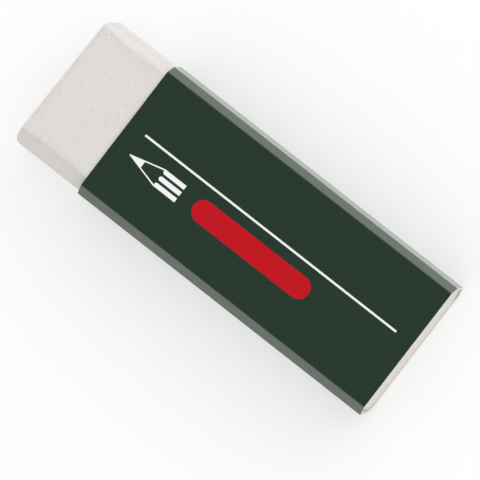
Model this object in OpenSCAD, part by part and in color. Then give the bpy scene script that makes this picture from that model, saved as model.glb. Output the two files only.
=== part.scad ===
// Vinyl eraser block in a folded card sleeve.
// The block lies flat with its nose towards -X, and the sleeve's printed top faces +Z.

/* [Block] */
// Length of the block along the middle of its top
block_l = 62; // [45:0.5:90]
// Width of the block
block_w = 21.75; // [16:0.25:32]
// Thickness of the block
block_h = 11.5; // [9:0.25:18]
// Mean width of the four long bevels, seen from above
bevel_w = 1.85; // [1.6:0.05:2.6]
// Height of the long bevels
bevel_h = 2.9; // [2:0.1:3.6]
// How far the soft section leans: its top sits this far back and its bottom this far forward
block_lean = 0.53; // [0:0.01:0.7]
// Rounding along the edges of the bevels
crease_r = 0.4; // [0.3:0.05:1]
// Rounding of the upright corners at both ends
corner_r = 1; // [0.5:0.1:2]
// Rounding along the top and bottom of both ends
end_r = 0.3; // [0.2:0.05:0.8]
// Angle by which the nose is cut out of square
nose_skew = 1.4; // [0:0.1:2]

/* [Card sleeve] */
// Thickness of the card
card_t = 0.25; // [0.2:0.05:0.5]
// Outer radius of the folds
fold_r = 0.25; // [0.2:0.05:0.5]
// How much narrower the card's bevels are than the block's
bevel_slack = 0.67; // [0.6:0.01:0.8]
// Lean of the sleeve's section
card_lean = 0.35; // [0:0.01:0.4]
// Distance from each glued edge of the card to the corner that it stops short of
seam_setback = 0.7; // [0.5:0.1:2]
// Thickness of the glue between the two layers of card under the block
glue_t = 0.03; // [0.01:0.01:0.05]
// Margin along the lap that the glue stays clear of
glue_margin = 1.5; // [0.5:0.1:3]
// Length of the nose that stands out of the sleeve
nose_l = 11.5; // [4:0.5:30]
// Depth of the block's tail inside the sleeve's far end
tail_recess = 0.2; // [0:0.1:3]

/* [Fit] */
// Gap between the block and the card on every side
slide_gap = 0.05; // [0.02:0.01:0.2]
// Extra room in front of the block, which lies towards the back of the sleeve
side_play = 0.15; // [0:0.05:0.4]

/* [Hidden] */
$fn = 64;

vinyl_white = "#dfdbd7";
card_green = "#2b3b31";

// The card lies double under the block, where its two ends are glued together
lap_z = card_t + glue_t;
block_y = side_play / 2;
block_z = lap_z + card_t + slide_gap;
sleeve_w = block_w + 2 * slide_gap + side_play + 2 * card_t;
sleeve_h = block_z + block_h + slide_gap + card_t;
card_bevel_w = bevel_w - bevel_slack;

// The skewed nose reaches further along its front edge than along its middle
nose_reach = block_w / 2 * tan(nose_skew);
total_l = nose_reach + block_l + tail_recess;
sleeve_l = block_l + tail_recess - nose_l;
sleeve_end_x = total_l / 2;
sleeve_mouth_x = sleeve_end_x - sleeve_l;
tail_x = sleeve_end_x - tail_recess;
nose_x = tail_x - block_l;
past = 1;
hair = 0.001;

function unit(v) = v / norm(v);
function right_of(v) = [v.y, -v.x];

// The eight corners of a bevelled section, seen with the back to the right: bottom front,
// up the front, over the top, down the back and bottom back
function bevelled(w, h, bevel, rise, lean) = [
    [-w / 2 + bevel - lean, 0],
    [-w / 2, rise],
    [-w / 2, h - rise],
    [-w / 2 + bevel + lean, h],
    [w / 2 - bevel + lean, h],
    [w / 2, h - rise],
    [w / 2, rise],
    [w / 2 - bevel - lean, 0]
];

// What a round of radius r takes off the corner between two sides. The round stands proud by a
// hair, so that it crosses both sides instead of only touching them.
module corner_waste(before, corner, after, r) {
    to_before = unit(before - corner);
    to_after = unit(after - corner);
    inward = unit(to_before + to_after);
    half_angle = acos(to_before * to_after) / 2;
    reach = r / tan(half_angle);
    centre = corner + inward * (r / sin(half_angle) - hair);
    difference() {
        polygon([corner + to_before * reach, centre, corner + to_after * reach, corner - inward * past]);
        translate(centre) circle(r);
    }
}

// A convex outline whose corners are all rounded to radius r
module soft_outline(corners, r) {
    last = len(corners) - 1;
    difference() {
        polygon(corners);
        for (i = [0 : last])
            corner_waste(corners[i == 0 ? last : i - 1], corners[i], corners[i == last ? 0 : i + 1], r);
    }
}

// Extrudes a section drawn in Y and Z along X
module along_x(from, length) {
    translate([from, 0, 0]) rotate([90, 0, 90]) linear_extrude(length) children();
}

// The room for a block whose end at x, turned about the upright, has soft top and bottom edges.
// It stands a hair outside the plan, so that the plan alone makes the flat of each end.
module rounded_end(x, turn) {
    reach = 2 * block_l;
    wide = 2 * block_w;
    side_view = [[0, 0], [0, block_h], [reach, block_h], [reach, 0]];
    translate([x, 0, 0]) rotate([0, 0, turn]) translate([0, wide / 2, 0]) rotate([90, 0, 0])
        linear_extrude(wide) soft_outline(side_view, end_r);
}

// The block seen from above, with rounded corners and the skewed nose
module plan_outline() {
    soft_outline([
        [nose_x - nose_reach, -block_w / 2],
        [nose_x + nose_reach, block_w / 2],
        [tail_x, block_w / 2],
        [tail_x, -block_w / 2]
    ], corner_r);
}

module eraser_block() {
    color(vinyl_white) translate([0, block_y, block_z]) intersection() {
        along_x(-total_l / 2 - past, total_l + 2 * past)
            soft_outline(bevelled(block_w, block_h, bevel_w, bevel_h, block_lean), crease_r);
        linear_extrude(block_h) plan_outline();
        rounded_end(nose_x - hair, -nose_skew);
        rounded_end(tail_x + hair, 180);
    }
}

// The outer side of the card, fold by fold: from the glued edge inside the lap it runs forward,
// up the front, over the top, down the back and under again to the glued edge outside
card_corners = bevelled(sleeve_w, sleeve_h, card_bevel_w, bevel_h, card_lean);
inner_edge = card_corners[7] + [-seam_setback, lap_z];
outer_edge = card_corners[0] + [seam_setback, 0];
card_path = [
    inner_edge,
    card_corners[0] + [0, lap_z],
    for (i = [1 : 7]) card_corners[i],
    outer_edge
];
card_last = len(card_path) - 1;

// The inner side of the card is the same line moved in by the card's thickness
function side_after(i) = right_of(unit(card_path[i + 1] - card_path[i]));
function side_at(i) =
    i == 0 ? side_after(0)
    : i == card_last ? side_after(card_last - 1)
    : (side_after(i - 1) + side_after(i)) / (1 + side_after(i - 1) * side_after(i));
card_inside = [for (i = [card_last : -1 : 0]) card_path[i] + side_at(i) * card_t];

// The card seen on edge, as one strip bent at its folds
module folded_strip() {
    difference() {
        polygon(concat(card_path, card_inside));
        for (i = [1 : card_last - 1])
            corner_waste(card_path[i - 1], card_path[i], card_path[i + 1], fold_r);
    }
}

// The glue that joins the two layers of the lap, short of their edges
module glued_lap() {
    front = outer_edge.x + glue_margin;
    back = inner_edge.x - glue_margin;
    translate([sleeve_mouth_x + glue_margin, front, card_t / 2])
        cube([sleeve_l - 2 * glue_margin, back - front, lap_z]);
}

module card_sleeve() {
    color(card_green) {
        along_x(sleeve_mouth_x, sleeve_l) folded_strip();
        glued_lap();
    }
}

eraser_block();
card_sleeve();
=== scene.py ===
"""A white vinyl eraser in its folded card sleeve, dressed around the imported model."""

import math

import bmesh
import bpy
from bpy.props import FloatProperty, FloatVectorProperty, PointerProperty
from mathutils import Matrix, Vector, noise
from mathutils.kdtree import KDTree


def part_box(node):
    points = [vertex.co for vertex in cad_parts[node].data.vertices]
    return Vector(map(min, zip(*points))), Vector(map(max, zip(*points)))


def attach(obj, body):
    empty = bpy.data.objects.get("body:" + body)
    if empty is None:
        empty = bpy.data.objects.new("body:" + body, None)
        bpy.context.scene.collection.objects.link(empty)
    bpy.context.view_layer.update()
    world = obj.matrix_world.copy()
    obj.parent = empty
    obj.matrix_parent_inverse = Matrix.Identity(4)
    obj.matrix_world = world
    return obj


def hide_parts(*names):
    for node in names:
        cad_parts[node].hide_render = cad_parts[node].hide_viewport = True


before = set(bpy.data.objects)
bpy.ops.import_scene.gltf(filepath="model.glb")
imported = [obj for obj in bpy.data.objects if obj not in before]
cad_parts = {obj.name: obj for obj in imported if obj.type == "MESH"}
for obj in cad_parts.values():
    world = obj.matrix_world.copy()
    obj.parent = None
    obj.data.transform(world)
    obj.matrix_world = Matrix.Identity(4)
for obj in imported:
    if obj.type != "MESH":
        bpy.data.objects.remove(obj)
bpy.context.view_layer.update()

bl_info = {
    "name": "Vinyl Eraser",
    "version": (1, 0, 0),
    "blender": (4, 5, 0),
    "location": "View3D > Sidebar > Eraser",
    "description": "Makes a vinyl eraser block, its printed card sleeve and a plain stage",
    "category": "Object",
}

BLOCK_LOW, BLOCK_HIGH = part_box("eraser_block")
SLEEVE_LOW, SLEEVE_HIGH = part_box("card_sleeve")
MM = 0.001

# the sleeve's material slots
GREEN, WHITE, RED, BARE, CUT, GLUE = range(6)

# strips in the rounding of a long edge, and of the upright and level edges of the block's ends
LONG_STEPS, UPRIGHT_STEPS, LEVEL_STEPS = 6, 8, 6

# distances within which places count as the same, in a cut and at the sleeve's ends
CUT_SLACK, END_SLACK = 1e-8, 1e-7

# cosine of the angle under which two faces count as one flat
FLAT = 0.9999

# angles from which an edge is a fold of the card, and from which it is shown sharp
LEAST_FOLD, LEAST_SHARP = 0.1, math.radians(40)

# the ripples on the gentle waves: their share of the depth, how much shorter they are and their start
RIPPLE_SHARE, RIPPLE_SCALE, RIPPLE_START = 0.2, 3.1, Vector((7, 3, 5))

# nearly all values of a noise lie between these
NOISE_LOW, NOISE_HIGH = 0.3, 0.7

# heights of a view, from 0 level to 1 straight up, where the dark ceiling begins and is darkest
CEILING_BEGINS, CEILING_DARKEST = 0.78, 0.95


def srgb(red, green, blue):
    """A colour given as it looks on a screen, 0 to 255, as the linear values that shaders take."""
    def linear(value):
        share = value / 255
        return share / 12.92 if share <= 0.04045 else ((share + 0.055) / 1.055) ** 2.4
    return linear(red), linear(green), linear(blue)


def length(name, description, default, most=0.1):
    return FloatProperty(name=name, description=description, default=default, min=-most, max=most,
                         unit="LENGTH", precision=5)


def angle(name, description, degrees):
    return FloatProperty(name=name, description=description, default=math.radians(degrees),
                         subtype="ANGLE")


def colour(name, description, default):
    return FloatVectorProperty(name=name, description=description, default=default, size=3,
                               subtype="COLOR", min=0, max=1)


class VinylSettings(bpy.types.PropertyGroup):
    """The white block"""

    bevel_width: length("Bevel width", "Mean width of the long bevels", 1.70 * MM)
    bevel_height: length("Bevel height", "Height of the long bevels", 2.9 * MM)
    lean: length("Lean", "How far the top sits back of the middle", 0.68 * MM)
    crease_radius: length("Crease radius", "Rounding along the bevels", 0.45 * MM)
    corner_radius: length("Corner radius", "Rounding of the nose's upright corners", 1.0 * MM)
    tail_corner: length("Tail corner", "Rounding of the tail's upright corners", 0.4 * MM)
    end_radius: length("End radius", "Rounding along the top and bottom of the nose", 0.3 * MM)
    tail_radius: length("Tail radius", "Rounding along the top and bottom of the tail", 0.08 * MM)
    nose_skew: angle("Nose skew", "How far the nose is cut out of square", 1.4)
    grid: length("Grid", "Spacing of the mesh that carries the sunken faces", 0.6 * MM)
    sink: length("Sink", "How far the faces have shrunk in between their creases", 0.12 * MM)
    sink_reach: length("Sink reach", "Distance from a crease over which a face sinks", 2.2 * MM)
    unevenness: length("Unevenness", "Depth of the gentle waves in the faces", 0.02 * MM)
    wave: length("Wave", "Length of the gentle waves in the faces", 5 * MM)
    tint: colour("Vinyl", "Colour of the vinyl", srgb(223, 219, 217))
    speck: colour("Specks", "Colour of the specks in the vinyl", srgb(168, 159, 154))
    # Colour and reach of the darker edges: partly real marks of handling, partly painted shade along the
    # creases.
    worn_and_shaded: colour("Worn edges", "Colour of the handled edges", srgb(205, 196, 190))
    wear_and_shade_reach: length("Wear reach", "Distance from an edge over which the wear fades", 0.4 * MM)
    grain: length("Grain", "Size of the mottled grain", 0.2 * MM)


class CardSettings(bpy.types.PropertyGroup):
    """The folded card"""

    thickness: length("Card", "Thickness of the card", 0.25 * MM)
    glue: length("Glue", "Thickness of the glue in the lap", 0.03 * MM)
    glue_margin: length("Glue margin", "Distance of the glue from the edges of the lap", 1.5 * MM)
    bevel_width: length("Bevel width", "Mean width of the folded bevels", 1.18 * MM)
    bevel_height: length("Bevel height", "Height of the folded bevels", 2.9 * MM)
    lean: length("Lean", "How far the top sits back of the middle", 0.35 * MM)
    fold_radius: length("Fold radius", "Outer radius of the folds", 0.2 * MM)
    setback: length("Setback", "Distance of a glued edge from the fold beside it", 0.7 * MM)
    nick: length("Nick", "Depth of the nicks where a fold meets a cut edge", 0.07 * MM)
    grid: length("Grid", "Spacing of the mesh that carries the card's waves", 1 * MM)
    unevenness: length("Unevenness", "Depth of the gentle waves in the card", 0.025 * MM)
    wave: length("Wave", "Length of the gentle waves in the card", 9 * MM)


class PrintSettings(bpy.types.PropertyGroup):
    """The print on the top panel, with places measured from the middle of the eraser"""

    green: colour("Green", "Ground of the print", srgb(38, 55, 45))
    white: colour("White", "White ink", srgb(240, 242, 240))
    red: colour("Red", "Red ink", srgb(192, 9, 26))
    bare: colour("Bare card", "Unprinted inside of the card", srgb(238, 234, 222))
    cut: colour("Cut edge", "Cut edge of the card", srgb(234, 230, 217))
    glue: colour("Glue", "Dried glue in the lap", srgb(226, 222, 200))
    rule_start: length("Rule start", "Left end of the white rule", -16.51 * MM)
    rule_end: length("Rule end", "Right end of the white rule", 28.32 * MM)
    rule_middle: length("Rule middle", "Middle line of the white rule", 1.41 * MM)
    rule_width: length("Rule width", "Width of the white rule", 0.31 * MM)
    row_middle: length("Row middle", "Middle line of the red field and the pencil", -2.08 * MM)
    field_start: length("Field start", "Left end of the red field", -5.13 * MM)
    field_end: length("Field end", "Right end of the red field", 15.36 * MM)
    field_height: length("Field height", "Height of the red field", 3.4 * MM)
    tip: length("Tip", "Where the sides of the pencil's cone would meet", -16.82 * MM)
    blunt: length("Blunt", "How far short of that place the lead ends", 0.2 * MM)
    lead: length("Lead", "Length of the pencil's bare lead", 2.57 * MM)
    shoulder: length("Shoulder", "Where the pencil's barrel starts", -11.33 * MM)
    barrel_end: length("Barrel end", "Where the pencil's barrel ends", -7.52 * MM)
    barrel_width: length("Barrel width", "Width of the pencil's barrel", 2.90 * MM)
    groove: length("Groove", "Gap between the faces of the pencil's barrel", 0.42 * MM)
    line: length("Line", "Width of the lines along the pencil's cone", 0.165 * MM)
    chamfer: length("Chamfer", "Cut corners where the barrel's faces meet the cone", 0.2 * MM)


class StageSettings(bpy.types.PropertyGroup):
    """Floor, room, lamp and camera"""

    floor: colour("Floor", "Colour of the floor", srgb(250, 250, 250))
    floor_radius: length("Floor radius", "Radius of the round floor", 2.5, 10)
    shadow: FloatProperty(name="Shadow", description="Share of the shadow that the floor shows",
                          default=0.5, min=0, max=1)
    room: FloatProperty(name="Room", description="Mean level of the room's light", default=0.75, min=0)
    room_slope: FloatVectorProperty(name="Room slope", default=(0, 0.13, 0.32), size=3,
                                    description="Extra light from the tail's side, the back and the top")
    ceiling: FloatProperty(name="Ceiling", description="Level at which the ceiling is mirrored",
                           default=0.12, min=0, max=1)
    lamp_place: FloatVectorProperty(name="Lamp place", description="Middle of the softbox",
                                    default=(0.1, 0.95, 0.6), size=3, subtype="TRANSLATION")
    lamp_width: length("Lamp width", "Width of the softbox", 1.1, 5)
    lamp_height: length("Lamp height", "Height of the softbox", 0.7, 5)
    lamp_power: FloatProperty(name="Lamp power", description="Power of the softbox", default=2.4, min=0,
                              unit="POWER")
    tilt_to_tail: angle("Tilt to the tail", "How far the camera stands to the tail's side", 5.9)
    tilt_to_back: angle("Tilt to the back", "How far the camera stands to the back", 5.55)
    roll: angle("Roll", "Slope of the eraser in the picture", 38.095)
    distance: length("Distance", "From the camera to the eraser", 1.4, 5)
    frame_width: length("Frame width", "Width of the picture at the eraser's top", 67.22 * MM)
    aim_x: length("Aim along", "Place along the eraser in the middle of the picture", 3.07 * MM)
    aim_y: length("Aim across", "Place across the eraser in the middle of the picture", -1.98 * MM)


def bevelled_section(width, height, shape):
    """Corners in Y and Z: bottom front, up the front, over the top, down the back and bottom back."""
    half = width / 2
    bevel, rise, lean = shape.bevel_width, shape.bevel_height, shape.lean
    return [
        (-half + bevel - lean, 0),
        (-half, rise),
        (-half, height - rise),
        (-half + bevel + lean, height),
        (half - bevel + lean, height),
        (half, height - rise),
        (half, rise),
        (half - bevel - lean, 0),
    ]


def new_piece(name, bm, materials):
    """Turns a bmesh into an object, smooth but for its sharp edges."""
    mesh = bpy.data.meshes.new(name)
    bm.to_mesh(mesh)
    bm.free()
    piece = bpy.data.objects.new(name, mesh)
    bpy.context.scene.collection.objects.link(piece)
    for material in materials:
        mesh.materials.append(material)
    mesh.shade_smooth()
    mesh.set_sharp_from_angle(angle=LEAST_SHARP)
    return piece


def weigh_normals(piece):
    """Keeps the flat faces flat beside the narrow strips of a rounding."""
    normals = piece.modifiers.new("normals", "WEIGHTED_NORMAL")
    normals.keep_sharp = True


def stations(low, high, spacing):
    """Evenly spaced places between two ends, the ends left out."""
    count = max(2, round((high - low) / spacing))
    return [low + (high - low) * step / count for step in range(1, count)]


def cut(bm, faces, point, normal):
    """Cuts faces along a plane and gives those on the side that the normal points away from."""
    point, normal = Vector(point), Vector(normal).normalized()
    geom = list(dict.fromkeys(part for face in faces for part in (face, *face.edges, *face.verts)))
    made = bmesh.ops.bisect_plane(bm, geom=geom, dist=CUT_SLACK, plane_co=point, plane_no=normal)
    return [part for part in made["geom"] if isinstance(part, bmesh.types.BMFace)
            and (part.calc_center_median() - point).dot(normal) < 0]


def wave_depth(place, wave, depth):
    """Gentle unevenness at a place, from nothing to the given depth."""
    swell = 0.5 + 0.5 * noise.noise(place / wave)
    ripple = 0.5 + 0.5 * noise.noise(place / wave * RIPPLE_SCALE + RIPPLE_START)
    return depth * swell * (1 - RIPPLE_SHARE) + depth * ripple * RIPPLE_SHARE


# the block

def build_block(vinyl):
    """A bevelled bar with rounded creases, trimmed to a rounded plan and soft ends."""
    width, height = BLOCK_HIGH[1] - BLOCK_LOW[1], BLOCK_HIGH[2] - BLOCK_LOW[2]
    middle = (BLOCK_LOW[1] + BLOCK_HIGH[1]) / 2
    bm = bmesh.new()
    section = [bm.verts.new((BLOCK_LOW[0], y + middle, z + BLOCK_LOW[2]))
               for y, z in bevelled_section(width, height, vinyl)]
    end = bm.faces.new(section)
    made = bmesh.ops.extrude_face_region(bm, geom=[end])
    far = [part for part in made["geom"] if isinstance(part, bmesh.types.BMVert)]
    bmesh.ops.translate(bm, verts=far, vec=(BLOCK_HIGH[0] - BLOCK_LOW[0], 0, 0))
    bmesh.ops.recalc_face_normals(bm, faces=bm.faces)
    long_edges = [edge for edge in bm.edges if abs(edge.verts[0].co.x - edge.verts[1].co.x) > MM]
    for edge in long_edges:
        round_edge(bm, edge, vinyl.crease_radius)
    trim_ends(bm, vinyl)
    bmesh.ops.recalc_face_normals(bm, faces=bm.faces)
    return bm


def round_edge(bm, edge, radius):
    """Rounds an edge along X to a radius."""
    bmesh.ops.bevel(bm, geom=[edge], offset=radius * math.tan(edge.calc_face_angle() / 2),
                    offset_type="OFFSET", segments=LONG_STEPS, profile=0.5, affect="EDGES", material=-1)


def trim_ends(bm, vinyl):
    """Cuts the skewed nose, then rounds both ends in plan and along their tops and bottoms."""
    half, middle = (BLOCK_HIGH[1] - BLOCK_LOW[1]) / 2, (BLOCK_LOW[1] + BLOCK_HIGH[1]) / 2
    slope = math.tan(vinyl.nose_skew)
    nose = Vector((-1, slope, 0)).normalized()
    nose_x = BLOCK_LOW[0] + slope * (half - vinyl.corner_radius)
    trim(bm, Vector((nose_x, middle, 0)), nose)
    ends = ((nose, nose_x, slope, vinyl.corner_radius, vinyl.end_radius),
            (Vector((1, 0, 0)), BLOCK_HIGH[0], 0, vinyl.tail_corner, vinyl.tail_radius))
    for way, x, shift, upright, level in ends:
        for side in (-1, 1):
            corner = Vector((x + side * shift * half, middle + side * half, 0))
            round_corner(bm, corner, way, Vector((0, side, 0)), upright, UPRIGHT_STEPS)
        for z, side in ((BLOCK_LOW[2], -1), (BLOCK_HIGH[2], 1)):
            round_corner(bm, Vector((x, middle, z)), way, Vector((0, 0, side)), level, LEVEL_STEPS)


def round_corner(bm, corner, first, second, radius, steps):
    """Rounds the edge through a corner between two flat sides, given their outward directions."""
    centre = corner - (first + second) * radius / (1 + first.dot(second))
    step = first.angle(second) / steps
    for count in range(steps):
        way = first.slerp(second, (count + 0.5) / steps)
        trim(bm, centre + way * radius * math.cos(step / 2), way)


def trim(bm, point, outward):
    """Cuts off what lies beyond a plane and closes the cut."""
    geom = bm.verts[:] + bm.edges[:] + bm.faces[:]
    made = bmesh.ops.bisect_plane(bm, geom=geom, dist=CUT_SLACK, plane_co=point, plane_no=outward,
                                  clear_outer=True)
    rim = [part for part in made["geom_cut"] if isinstance(part, bmesh.types.BMEdge)]
    bmesh.ops.edgeloop_fill(bm, edges=rim)


def sink_faces(bm, vinyl):
    """Sets the long faces in a little between their creases, with gentle waves, as vinyl shrinks.

    The cut ends stay flat. Each vertex keeps how near it is to a crease, for the darker edges: partly
    marks of handling, partly painted shade along the creases.
    """
    for axis in range(3):
        plane = [0, 0, 0]
        plane[axis] = 1
        for place in stations(BLOCK_LOW[axis], BLOCK_HIGH[axis], vinyl.grid):
            point = [0, 0, 0]
            point[axis] = place
            cut(bm, bm.faces[:], point, plane)
    bm.normal_update()
    bent = [vert for vert in bm.verts
            if any(vert.normal.dot(face.normal) < FLAT for face in vert.link_faces)]
    creases = KDTree(len(bent))
    for index, vert in enumerate(bent):
        creases.insert(vert.co, index)
    creases.balance()
    # Nearness to a crease, which the material turns into darker edges: partly marks of handling, partly
    # painted shade.
    wear_and_shade = bm.verts.layers.float.new("wear_and_shade")
    for vert, inward in [(vert, -vert.normal.copy()) for vert in bm.verts]:
        distance = creases.find(vert.co)[2]
        vert[wear_and_shade] = math.exp(-distance / vinyl.wear_and_shade_reach)
        reach = distance / vinyl.sink_reach
        off_end = 1 - abs(inward.x)
        sunk = vinyl.sink * (1 - math.exp(-reach)) * off_end
        waved = min(1, reach) * wave_depth(vert.co, vinyl.wave, vinyl.unevenness) * off_end
        vert.co += inward * (sunk + waved)


class ERASER_OT_block(bpy.types.Operator):
    """Makes the vinyl block"""

    bl_idname = "eraser.block"
    bl_label = "Make Block"

    def execute(self, context):
        vinyl = context.scene.eraser_vinyl
        bm = build_block(vinyl)
        sink_faces(bm, vinyl)
        block = new_piece("vinyl_block", bm, [vinyl_material(vinyl)])
        weigh_normals(block)
        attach(block, "block")
        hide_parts("eraser_block")
        return {"FINISHED"}


# the sleeve

def fold_card(card):
    """The card folded round the block and lapped under it, with its outer folds rounded."""
    width, height = SLEEVE_HIGH[1] - SLEEVE_LOW[1], SLEEVE_HIGH[2]
    lap = card.thickness + card.glue
    corners = bevelled_section(width, height, card)
    path = [(corners[7][0] - card.setback, lap), (corners[0][0], lap)]
    path += corners[1:] + [(corners[0][0] + card.setback, 0)]
    bm = bmesh.new()
    line = [bm.verts.new((SLEEVE_LOW[0], y, z)) for y, z in path]
    edges = [bm.edges.new(pair) for pair in zip(line, line[1:])]
    made = bmesh.ops.extrude_edge_only(bm, edges=edges)
    far = [part for part in made["geom"] if isinstance(part, bmesh.types.BMVert)]
    bmesh.ops.translate(bm, verts=far, vec=(SLEEVE_HIGH[0] - SLEEVE_LOW[0], 0, 0))
    bmesh.ops.recalc_face_normals(bm, faces=bm.faces)
    if max(bm.faces, key=lambda face: face.calc_center_median().z).normal.z < 0:
        bmesh.ops.reverse_faces(bm, faces=bm.faces)
    thicken(bm, card)
    for edge in outer_folds(bm):
        round_edge(bm, edge, card.fold_radius)
    return bm


def thicken(bm, card):
    """Gives the sheet its thickness, with bare card inside and a cut edge all round."""
    outer = set(bm.faces)
    bmesh.ops.solidify(bm, geom=bm.faces[:], thickness=card.thickness)
    for face in set(bm.faces) - outer:
        at_edge = any(other in outer for edge in face.edges for other in edge.link_faces)
        face.material_index = CUT if at_edge else BARE


def outer_folds(bm):
    """The edges along X where two printed panels meet."""
    return [edge for edge in bm.edges if edge.is_manifold and edge.calc_face_angle() > LEAST_FOLD
            and all(face.material_index < BARE for face in edge.link_faces)]


def inlay(bm, outline, ink):
    """Cuts a convex shape, given anticlockwise in X and Y, into the top panel and inks it."""
    inside = [face for face in bm.faces if face.normal.z > FLAT and face.material_index < BARE]
    for start, end in zip(outline, outline[1:] + outline[:1]):
        outward = (end[1] - start[1], start[0] - end[0], 0)
        inside = cut(bm, inside, (*start, 0), outward)
    for face in inside:
        face.material_index = ink


def bar(left, right, low, high):
    return [(left, low), (right, low), (right, high), (left, high)]


def rounded_bar(left, right, low, high, steps=16):
    """A bar whose ends are half rounds."""
    radius = (high - low) / 2
    turns = [math.pi * (step / steps - 0.5) for step in range(steps + 1)]
    ends = [(right - radius, turn) for turn in turns]
    ends += [(left + radius, turn + math.pi) for turn in turns]
    return [(x + radius * math.cos(turn), low + radius + radius * math.sin(turn)) for x, turn in ends]


def mirrored(outline, middle):
    """The outline on the other side of a line along X, still anticlockwise."""
    return [(x, 2 * middle - y) for x, y in reversed(outline)]


def pencil_shapes(ink):
    """A plain pencil: three faces of its barrel, two lines along its cone and its lead."""
    middle, half = ink.row_middle, ink.barrel_width / 2
    face_width = (ink.barrel_width - 2 * ink.groove) / 3
    slope = half / (ink.shoulder - ink.tip)
    lead_half, blunt_half = slope * ink.lead, slope * ink.blunt
    shapes = [[(ink.tip + ink.blunt, middle - blunt_half), (ink.tip + ink.lead, middle - lead_half),
               (ink.tip + ink.lead, middle + lead_half), (ink.tip + ink.blunt, middle + blunt_half)]]
    outer = bar(ink.shoulder, ink.barrel_end, middle + half - face_width, middle + half)
    outer[:1] = [(ink.shoulder, outer[0][1] + ink.chamfer), (ink.shoulder + ink.chamfer, outer[0][1])]
    cone = [(ink.tip + ink.lead / 2, middle + lead_half / 2 - ink.line),
            (ink.shoulder + ink.chamfer, middle + half - ink.line),
            (ink.shoulder + ink.chamfer, middle + half),
            (ink.shoulder, middle + half),
            (ink.tip + ink.lead / 2, middle + lead_half / 2)]
    cone[0] = (cone[0][0], max(cone[0][1], middle))
    for shape in (outer, cone):
        shapes += [shape, mirrored(shape, middle)]
    left, low, high = ink.shoulder, middle - face_width / 2, middle + face_width / 2
    shapes.append([(left + ink.chamfer, low), (ink.barrel_end, low), (ink.barrel_end, high),
                   (left + ink.chamfer, high), (left, high - ink.chamfer), (left, low + ink.chamfer)])
    return shapes


def print_panel(bm, ink):
    """Cuts the rule, the red field and the pencil into the top panel."""
    inlay(bm, bar(ink.rule_start, ink.rule_end, ink.rule_middle - ink.rule_width / 2,
                  ink.rule_middle + ink.rule_width / 2), WHITE)
    inlay(bm, rounded_bar(ink.field_start, ink.field_end, ink.row_middle - ink.field_height / 2,
                          ink.row_middle + ink.field_height / 2), RED)
    for shape in pencil_shapes(ink):
        inlay(bm, shape, WHITE)


def nick_folds(bm, card):
    """Sets the cut edges back a little where a fold runs out, as the creasing tool leaves them."""
    for vert in bm.verts:
        printed = [face.normal for face in vert.link_faces if face.material_index < BARE]
        at_end = min(abs(vert.co.x - end) for end in (SLEEVE_LOW[0], SLEEVE_HIGH[0])) < END_SLACK
        if at_end and len(printed) == 2 and printed[0].dot(printed[1]) < FLAT:
            vert.co.x -= math.copysign(card.nick, vert.co.x)


def wave_card(bm, card):
    """Gives the card gentle waves that only reach inwards."""
    for place in stations(SLEEVE_LOW[0], SLEEVE_HIGH[0], card.grid):
        cut(bm, bm.faces[:], (place, 0, 0), (1, 0, 0))
    for place in stations(SLEEVE_LOW[1], SLEEVE_HIGH[1], 2 * card.grid):
        cut(bm, bm.faces[:], (0, place, 0), (0, 1, 0))
    bm.normal_update()
    moves = []
    for vert in bm.verts:
        printed = [face.normal for face in vert.link_faces if face.material_index < BARE]
        bare = [face.normal for face in vert.link_faces if face.material_index == BARE]
        inward = -sum(printed, Vector()) if printed else sum(bare, Vector())
        moves.append((vert, inward.normalized() * wave_depth(vert.co, card.wave, card.unevenness)))
    for vert, move in moves:
        vert.co += move


def glue_lap(bm, card):
    """A thin bed of glue between the two layers under the block."""
    low = SLEEVE_LOW[1] + card.bevel_width - card.lean + card.setback + card.glue_margin
    high = SLEEVE_HIGH[1] - card.bevel_width - card.lean - card.setback - card.glue_margin
    size = (SLEEVE_HIGH[0] - SLEEVE_LOW[0] - 2 * card.glue_margin, high - low, card.glue)
    place = ((SLEEVE_LOW[0] + SLEEVE_HIGH[0]) / 2, (low + high) / 2, card.thickness + card.glue / 2)
    placed = Matrix.Translation(place) @ Matrix.Diagonal((*size, 1))
    made = bmesh.ops.create_cube(bm, size=1, matrix=placed)
    for face in {face for vert in made["verts"] for face in vert.link_faces}:
        face.material_index = GLUE


class ERASER_OT_sleeve(bpy.types.Operator):
    """Folds the printed card sleeve"""

    bl_idname = "eraser.sleeve"
    bl_label = "Make Sleeve"

    def execute(self, context):
        card, ink = context.scene.eraser_card, context.scene.eraser_print
        bm = fold_card(card)
        print_panel(bm, ink)
        nick_folds(bm, card)
        wave_card(bm, card)
        glue_lap(bm, card)
        materials = [
            print_material("green_print", ink.green, grain=0.09),
            print_material("white_print", ink.white, grain=0.02),
            print_material("red_print", ink.red, grain=0.03),
            bare_card_material("bare_card", ink.bare),
            bare_card_material("cut_card", ink.cut),
            bare_card_material("dried_glue", ink.glue),
        ]
        sleeve = new_piece("folded_sleeve", bm, materials)
        weigh_normals(sleeve)
        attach(sleeve, "sleeve")
        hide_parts("card_sleeve")
        return {"FINISHED"}


# the materials

def add_node(tree, kind, inputs=None, **settings):
    """Adds a shader node, with each input given as a value or as a socket to link from."""
    made = tree.nodes.new(kind)
    for key, value in settings.items():
        setattr(made, key, value)
    for key, value in (inputs or {}).items():
        if isinstance(value, bpy.types.NodeSocket):
            tree.links.new(value, made.inputs[key])
        else:
            made.inputs[key].default_value = value
    return made


def new_material(name, **values):
    """A material whose shader's sockets are set by name, with spaces written as underscores."""
    material = bpy.data.materials.new(name)
    material.use_nodes = True
    tree = material.node_tree
    shader = tree.nodes["Principled BSDF"]
    for key, value in values.items():
        socket = next(s for s in shader.inputs if s.name.lower().replace(" ", "_") == key)
        socket.default_value = value
    return material, tree, shader


def object_place(tree):
    return add_node(tree, "ShaderNodeTexCoord").outputs["Object"]


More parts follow.
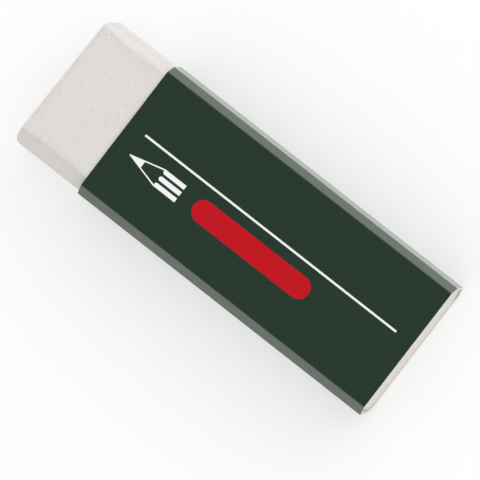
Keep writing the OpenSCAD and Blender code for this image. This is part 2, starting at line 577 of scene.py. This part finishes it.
def object_noise(tree, size, detail=2.0, roughness=0.5):
    """Noise that is fixed to the object, with features of about the given size."""
    made = add_node(tree, "ShaderNodeTexNoise", {"Vector": object_place(tree), "Scale": 1 / size,
                                                 "Detail": detail, "Roughness": roughness})
    return made.outputs["Fac"]


def map_range(tree, value, low, high, to_low=0.0, to_high=1.0, smooth=False):
    made = add_node(tree, "ShaderNodeMapRange", {"Value": value, "From Min": low, "From Max": high,
                                                 "To Min": to_low, "To Max": to_high},
                    interpolation_type="SMOOTHSTEP" if smooth else "LINEAR")
    return made.outputs["Result"]


def spread(tree, value, low=0.0, high=1.0):
    """Spreads the usual values of a noise over a range."""
    return map_range(tree, value, NOISE_LOW, NOISE_HIGH, low, high)


def maths(tree, operation, *values):
    return add_node(tree, "ShaderNodeMath", dict(enumerate(values)), operation=operation).outputs[0]


def blend_colours(tree, share, first, second):
    """Mixes two colours, each given as three numbers or as a socket."""
    made = add_node(tree, "ShaderNodeMix", data_type="RGBA")
    for socket, value in ((made.inputs[0], share), (made.inputs[6], first), (made.inputs[7], second)):
        if isinstance(value, bpy.types.NodeSocket):
            tree.links.new(value, socket)
        else:
            socket.default_value = (*value, 1)
    return made.outputs[2]


def shaded(tint, factor):
    return [min(1, part * factor) for part in tint]


def bump(tree, shader, height, distance):
    made = add_node(tree, "ShaderNodeBump", {"Height": height, "Distance": distance, "Strength": 1.0})
    tree.links.new(made.outputs["Normal"], shader.inputs["Normal"])


def vinyl_material(vinyl):
    """Dull white vinyl, mottled by its filler, with a few darker specks, and darker edges: partly marks
    of handling, partly painted shade along the creases.
    """
    material, tree, shader = new_material(
        "white_vinyl", ior=1.45, subsurface_weight=0.3, subsurface_scale=0.8 * MM,
        subsurface_radius=(1.0, 0.9, 0.8))
    dark_grain, pale_grain = shaded(vinyl.tint, 0.87), shaded(vinyl.tint, 1.09)
    cloud, pale_speck = shaded(vinyl.tint, 0.93), shaded(vinyl.tint, 0.82)
    mottle = object_noise(tree, vinyl.grain, detail=3, roughness=0.6)
    clouds = spread(tree, object_noise(tree, size=6 * MM), high=0.25)
    body = blend_colours(tree, spread(tree, mottle), dark_grain, pale_grain)
    body = blend_colours(tree, clouds, body, cloud)
    dark_specks = specks(tree, spacing=0.5 * MM, radius=0.17, rarity=0.3)
    body = blend_colours(tree, dark_specks, body, vinyl.speck)
    pale_specks = specks(tree, spacing=0.3 * MM, radius=0.26, rarity=0.2)
    body = blend_colours(tree, pale_specks, body, pale_speck)
    # Darker, warmer edges near every crease, in patches: partly marks of handling, partly painted shade
    # along the creases.
    near_edge = add_node(tree, "ShaderNodeAttribute", attribute_name="wear_and_shade").outputs["Fac"]
    edge_patches = spread(tree, object_noise(tree, size=1.5 * MM), 0.15, 0.5)
    body = blend_colours(tree, maths(tree, "MULTIPLY", near_edge, edge_patches), body, vinyl.worn_and_shaded)
    tree.links.new(body, shader.inputs["Base Color"])
    tree.links.new(spread(tree, mottle, 0.65, 0.78), shader.inputs["Roughness"])
    bump(tree, shader, mottle, distance=0.01 * MM)
    return material


def specks(tree, spacing, radius, rarity):
    """Scattered round specks, from 0 to 1.

    The radius is a share of the spacing, and rarity is the share of cells that have no speck.
    """
    made = add_node(tree, "ShaderNodeTexVoronoi", {"Vector": object_place(tree), "Scale": 1 / spacing})
    chance = add_node(tree, "ShaderNodeSeparateColor", {0: made.outputs["Color"]}).outputs[0]
    near = map_range(tree, made.outputs["Distance"], radius, radius * 0.5, smooth=True)
    return maths(tree, "MULTIPLY", near, map_range(tree, chance, rarity, 0.95))


def print_material(name, tint, grain):
    """Ink under a smooth varnish, with a share of grain, on the card's slightly pebbled surface."""
    material, tree, shader = new_material(
        name, ior=1.4, sheen_weight=0.2, sheen_roughness=0.4, sheen_tint=(0.6, 0.9, 0.5, 1))
    cover = spread(tree, object_noise(tree, size=0.4 * MM))
    body = blend_colours(tree, cover, shaded(tint, 1 - grain), shaded(tint, 1 + grain))
    tree.links.new(body, shader.inputs["Base Color"])
    varnish = spread(tree, object_noise(tree, size=2 * MM), 0.13, 0.17)
    tree.links.new(varnish, shader.inputs["Roughness"])
    pebbles = object_noise(tree, size=0.5 * MM, detail=3)
    bump(tree, shader, pebbles, distance=0.004 * MM)
    return material


def bare_card_material(name, tint):
    """Uncoated card with short fibres in every direction."""
    material, tree, shader = new_material(name, roughness=0.85, ior=1.5, specular_ior_level=0.3)
    dark_fibre, pale_fibre = shaded(tint, 0.93), shaded(tint, 1.04)
    fibre = object_noise(tree, size=0.12 * MM, detail=4, roughness=0.7)
    body = blend_colours(tree, spread(tree, fibre), dark_fibre, pale_fibre)
    tree.links.new(body, shader.inputs["Base Color"])
    bump(tree, shader, fibre, distance=0.02 * MM)
    return material


# the stage

def camera_axes(stage):
    """Right, up and back of the camera, as seen over the eraser's top with the roll of the picture."""
    back = Vector((math.tan(stage.tilt_to_tail), math.tan(stage.tilt_to_back), 1)).normalized()
    along = Vector((1, 0, 0))
    along = (along - along.dot(back) * back).normalized()
    across = back.cross(along)
    right = math.cos(stage.roll) * along + math.sin(stage.roll) * across
    up = -math.sin(stage.roll) * along + math.cos(stage.roll) * across
    return right, up, back


def add_camera(stage):
    data = bpy.data.cameras.new("camera")
    camera = bpy.data.objects.new("camera", data)
    bpy.context.scene.collection.objects.link(camera)
    right, up, back = camera_axes(stage)
    aim = Vector((stage.aim_x, stage.aim_y, SLEEVE_HIGH[2]))
    camera.matrix_world = Matrix.Translation(aim + back * stage.distance) @ \
        Matrix((right, up, back)).transposed().to_4x4()
    data.sensor_width = 36
    data.lens = data.sensor_width * stage.distance / stage.frame_width
    data.clip_start = 0.1
    data.clip_end = 10
    bpy.context.scene.camera = camera


def add_softbox(stage):
    """A large lamp behind the eraser, turned to its middle."""
    data = bpy.data.lights.new("back_softbox", "AREA")
    data.shape = "RECTANGLE"
    data.size = stage.lamp_width
    data.size_y = stage.lamp_height
    data.energy = stage.lamp_power
    lamp = bpy.data.objects.new("back_softbox", data)
    bpy.context.scene.collection.objects.link(lamp)
    lamp.location = stage.lamp_place
    lamp.rotation_euler = (-Vector(stage.lamp_place)).to_track_quat("-Z", "Y").to_euler()


def seen_rays(tree):
    """1 on rays that show a thing as such, straight, mirrored or through glass, and 0 on its light."""
    rays = add_node(tree, "ShaderNodeLightPath").outputs
    return maths(tree, "MAXIMUM", rays["Is Camera Ray"],
                 maths(tree, "MAXIMUM", rays["Is Glossy Ray"], rays["Is Transmission Ray"]))


def light_room(stage):
    """A white room that lights the eraser most from above and behind, and mirrors a dark ceiling."""
    world = bpy.data.worlds.new("room")
    world.use_nodes = True
    bpy.context.scene.world = world
    tree = world.node_tree
    way = add_node(tree, "ShaderNodeTexCoord").outputs["Generated"]
    slope = add_node(tree, "ShaderNodeVectorMath", {0: way, 1: stage.room_slope}, operation="DOT_PRODUCT")
    light = maths(tree, "ADD", slope.outputs["Value"], stage.room)
    height = add_node(tree, "ShaderNodeSeparateXYZ", {0: way}).outputs["Z"]
    seen = map_range(tree, height, CEILING_BEGINS, CEILING_DARKEST, 1, stage.ceiling, smooth=True)
    strength = add_node(tree, "ShaderNodeMix", {0: seen_rays(tree), 2: light, 3: seen}).outputs[0]
    background = tree.nodes["Background"]
    background.inputs["Color"].default_value = (1, 1, 1, 1)
    tree.links.new(strength, background.inputs["Strength"])


def floor_material(stage):
    """A white floor that shows the eraser's shadow at less than its full depth."""
    material, tree, shader = new_material("floor", roughness=0.9, specular_ior_level=0.1)
    shader.inputs["Base Color"].default_value = (*stage.floor, 1)
    white = add_node(tree, "ShaderNodeEmission", {"Color": (1, 1, 1, 1), "Strength": 1.0})
    share = maths(tree, "MULTIPLY", seen_rays(tree), 1 - stage.shadow)
    both = add_node(tree, "ShaderNodeMixShader", {0: share, 1: shader.outputs[0], 2: white.outputs[0]})
    tree.links.new(both.outputs[0], tree.nodes["Material Output"].inputs["Surface"])
    return material


class ERASER_OT_stage(bpy.types.Operator):
    """Sets out the floor, the room, the lamp and the camera"""

    bl_idname = "eraser.stage"
    bl_label = "Set Stage"

    def execute(self, context):
        stage = context.scene.eraser_stage
        bm = bmesh.new()
        bmesh.ops.create_circle(bm, cap_ends=True, radius=stage.floor_radius, segments=96)
        new_piece("floor", bm, [floor_material(stage)])
        light_room(stage)
        add_softbox(stage)
        add_camera(stage)
        return {"FINISHED"}


class ERASER_PT_panel(bpy.types.Panel):
    """Lists what makes the eraser"""

    bl_idname = "ERASER_PT_panel"
    bl_label = "Vinyl Eraser"
    bl_space_type = "VIEW_3D"
    bl_region_type = "UI"
    bl_category = "Eraser"

    def draw(self, context):
        for operator in STEPS:
            self.layout.operator(operator.bl_idname)


STEPS = (ERASER_OT_block, ERASER_OT_sleeve, ERASER_OT_stage)
SETTINGS = {"eraser_vinyl": VinylSettings, "eraser_card": CardSettings,
            "eraser_print": PrintSettings, "eraser_stage": StageSettings}
CLASSES = (*SETTINGS.values(), *STEPS, ERASER_PT_panel)


def register():
    for cls in CLASSES:
        bpy.utils.register_class(cls)
    for name, group in SETTINGS.items():
        setattr(bpy.types.Scene, name, PointerProperty(type=group))


def unregister():
    for name in SETTINGS:
        delattr(bpy.types.Scene, name)
    for cls in reversed(CLASSES):
        bpy.utils.unregister_class(cls)


def main():
    """Makes the eraser on its stage."""
    bpy.context.scene.view_settings.view_transform = "Standard"
    register()
    bpy.ops.eraser.block()
    bpy.ops.eraser.sleeve()
    bpy.ops.eraser.stage()


if __name__ == "__main__":
    main()
